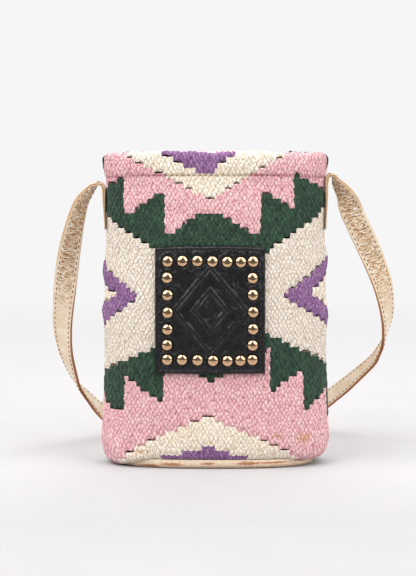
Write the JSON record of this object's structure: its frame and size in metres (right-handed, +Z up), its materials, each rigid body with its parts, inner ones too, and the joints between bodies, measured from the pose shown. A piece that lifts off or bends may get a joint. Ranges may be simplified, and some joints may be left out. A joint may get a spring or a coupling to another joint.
{
  "type": "woven tapestry crossbody pouch",
  "caption": "Small upright pouch of stepped slit-tapestry weave with a studded leather patch, a leather base and a long flat leather strap; open at the top.",
  "frame": {"origin": "middle of the base's underside, on the surface that the pouch stands on", "axes": "+Z up, -Y towards the front with the patch, +X to the right as seen from the front"},
  "size_m": [0.2463, 0.229, 0.2171],
  "materials": {
    "woven_wool": "weft-faced wool tapestry in pink, green, purple, cream and oatmeal, matt",
    "lining_cotton": "plain black cotton, matt",
    "gold_leather": "creased metallic gold foil on leather, brown edges and stitching",
    "base_leather": "pale gold leather worn through to tan along its lower edge",
    "black_leather": "soft black grain leather with black stitching",
    "stud_metal": "polished pale gold plating"
  },
  "bodies": {
    "root": {"front_panel": "woven_wool", "back_panel": "woven_wool", "lining": "lining_cotton", "base": "base_leather", "patch": "black_leather", "stud_01": "stud_metal", "stud_02": "stud_metal", "stud_03": "stud_metal", "stud_04": "stud_metal", "stud_05": "stud_metal", "stud_06": "stud_metal", "stud_07": "stud_metal", "stud_08": "stud_metal", "stud_09": "stud_metal", "stud_10": "stud_metal", "stud_11": "stud_metal", "stud_12": "stud_metal", "stud_13": "stud_metal", "stud_14": "stud_metal", "stud_15": "stud_metal", "stud_16": "stud_metal", "stud_17": "stud_metal", "stud_18": "stud_metal", "stud_19": "stud_metal", "stud_20": "stud_metal", "stud_21": "stud_metal", "stud_22": "stud_metal", "stud_23": "stud_metal", "stud_24": "stud_metal", "strap_back_ply": "gold_leather", "strap_face_ply": "gold_leather"}
  },
  "joints": []
}
